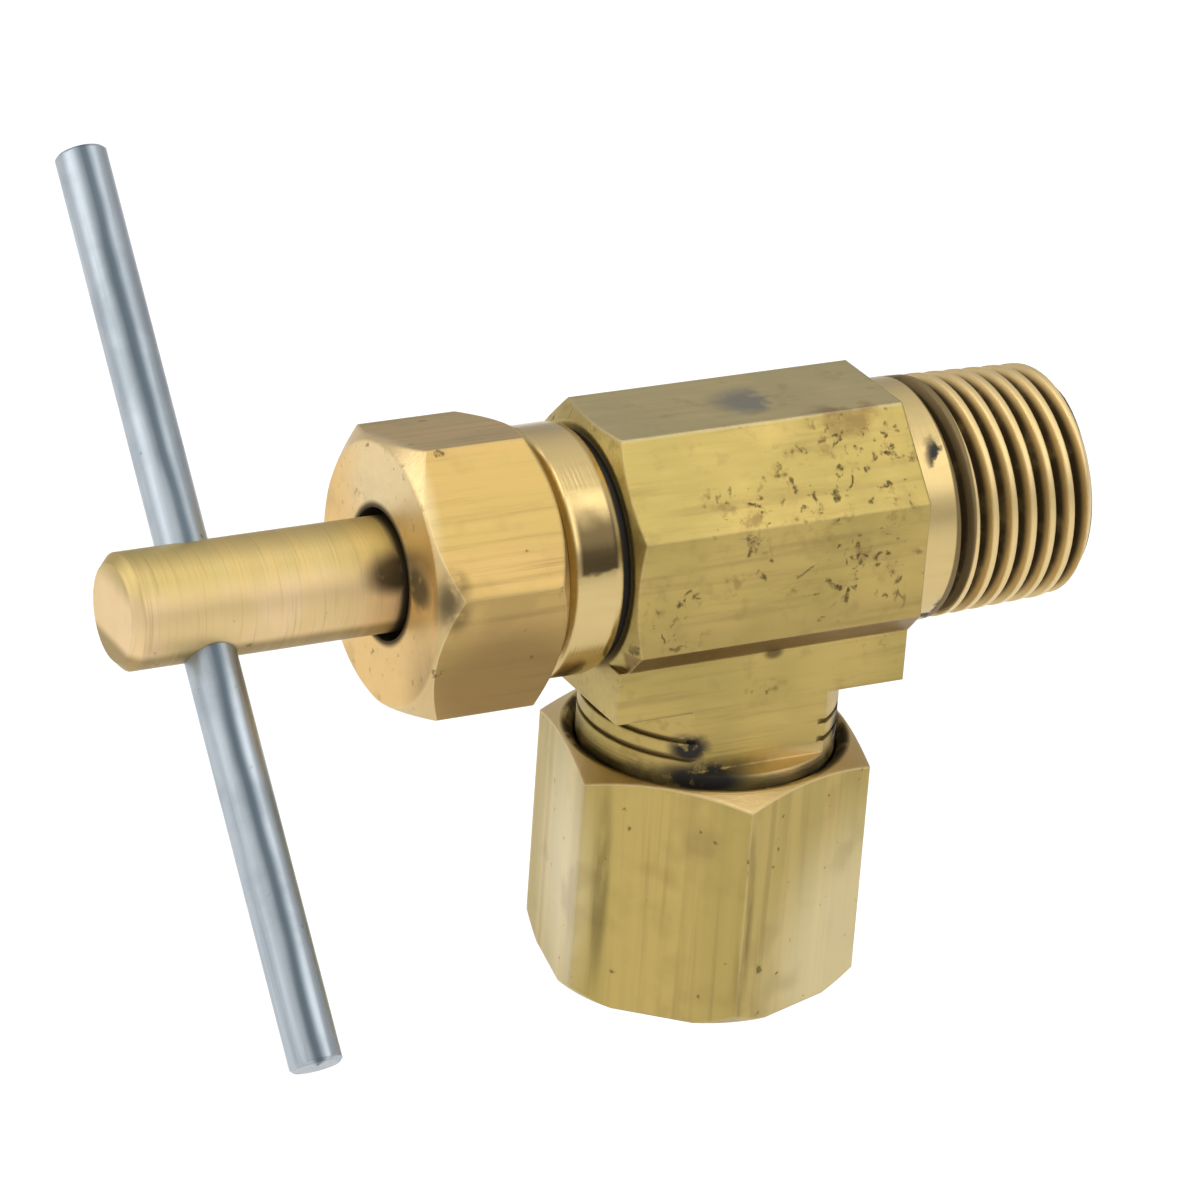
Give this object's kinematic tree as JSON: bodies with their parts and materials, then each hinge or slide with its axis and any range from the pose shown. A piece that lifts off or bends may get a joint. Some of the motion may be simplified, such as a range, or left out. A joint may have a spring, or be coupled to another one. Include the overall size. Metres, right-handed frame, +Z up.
{
  "type": "needle valve",
  "caption": "Brass angle needle valve with a tee-handle screw stem, packing nut, tapered male pipe thread inlet and a tube compression outlet.",
  "frame": {"origin": "centre of the male pipe thread's end face, on the main axis", "axes": "+X along the main axis, out of the male pipe thread, with the stem and handle at -X; -Z along the outlet axis, out of the tube socket; +Z up"},
  "size_m": [0.0428, 0.0278, 0.0351],
  "materials": {
    "body_brass": "mill-finished extruded brass, turned bright at the ends",
    "nut_brass": "satin brass hexagon bar, turned at the ends",
    "stem_brass": "fine-turned brass",
    "sleeve_brass": "bright turned brass",
    "handle_steel": "zinc-plated drawn steel rod",
    "packing": "off-white PTFE",
    "seal_rubber": "black nitrile rubber"
  },
  "bodies": {
    "valve": {"valve_body": "body_brass", "packing_washer": "sleeve_brass", "packing_ring_lower": "packing", "packing_ring_upper": "packing"},
    "stem_travel": {"stem_o_ring": "seal_rubber"},
    "stem": {"needle_stem": "stem_brass", "tee_handle": "handle_steel"},
    "gland": {"gland_follower": "sleeve_brass"},
    "packing_nut": {"packing_nut": "nut_brass"},
    "sleeve": {"compression_sleeve": "sleeve_brass"},
    "compression_nut": {"compression_nut": "nut_brass"}
  },
  "joints": [
    {"name": "stem_slide", "type": "slide", "parent": "valve", "child": "stem_travel", "axis": [-1, 0, 0], "range_m": [0, 0.00238]},
    {"name": "handle_turn", "type": "hinge", "parent": "stem_travel", "child": "stem", "pos_m": [-0.0154, 0, 0], "axis": [-1, 0, 0], "range_deg": [0, 1080]},
    {"name": "gland_slide", "type": "slide", "parent": "valve", "child": "gland", "axis": [-1, 0, 0], "range_m": [0, 0.0037]},
    {"name": "packing_nut_turn", "type": "hinge", "parent": "gland", "child": "packing_nut", "pos_m": [-0.0154, 0, 0], "axis": [-1, 0, 0], "range_deg": [0, 1260]},
    {"name": "sleeve_slide", "type": "slide", "parent": "valve", "child": "sleeve", "axis": [0, 0, -1], "range_m": [0, 0.00529]},
    {"name": "compression_nut_turn", "type": "hinge", "parent": "sleeve", "child": "compression_nut", "pos_m": [-0.0154, 0, 0], "axis": [0, 0, -1], "range_deg": [0, 1800]}
  ],
  "couplings": [
    {"joint": "handle_turn", "follows": "stem_slide", "rad_per_m": 7915.8},
    {"joint": "packing_nut_turn", "follows": "gland_slide", "rad_per_m": 5936.9},
    {"joint": "compression_nut_turn", "follows": "sleeve_slide", "rad_per_m": 5936.9}
  ]
}
